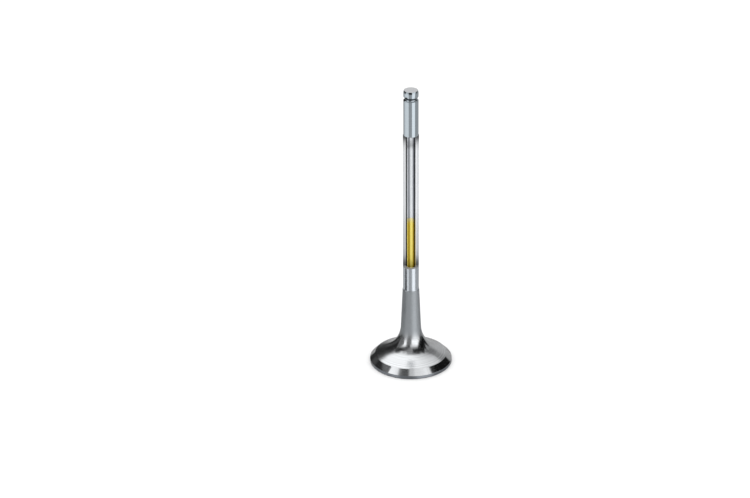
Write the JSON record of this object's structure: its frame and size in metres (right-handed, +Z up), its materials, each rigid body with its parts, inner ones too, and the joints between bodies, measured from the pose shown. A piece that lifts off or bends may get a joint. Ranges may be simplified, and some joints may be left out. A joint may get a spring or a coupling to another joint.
{
  "type": "engine valve",
  "caption": "Exhaust poppet valve with a hollow stem, cut open along the stem to show its bore, lined yellow where the sodium sits, standing on its head face.",
  "frame": {"origin": "centre of the head face, on the surface the valve stands on", "axes": "+Z up the stem to its tip; the window in the stem faces -Y"},
  "size_m": [0.0314, 0.0314, 0.1124],
  "materials": {
    "valve_steel": "turned and ground heat-resistant steel, matte on the neck and chromed on the stem",
    "stem_end_steel": "satin ground hardened steel",
    "sodium_yellow": "glossy yellow lining that stands for sodium"
  },
  "bodies": {
    "root": {"valve_body": "valve_steel", "stem_end": "stem_end_steel", "sodium_charge": "sodium_yellow"}
  },
  "joints": []
}
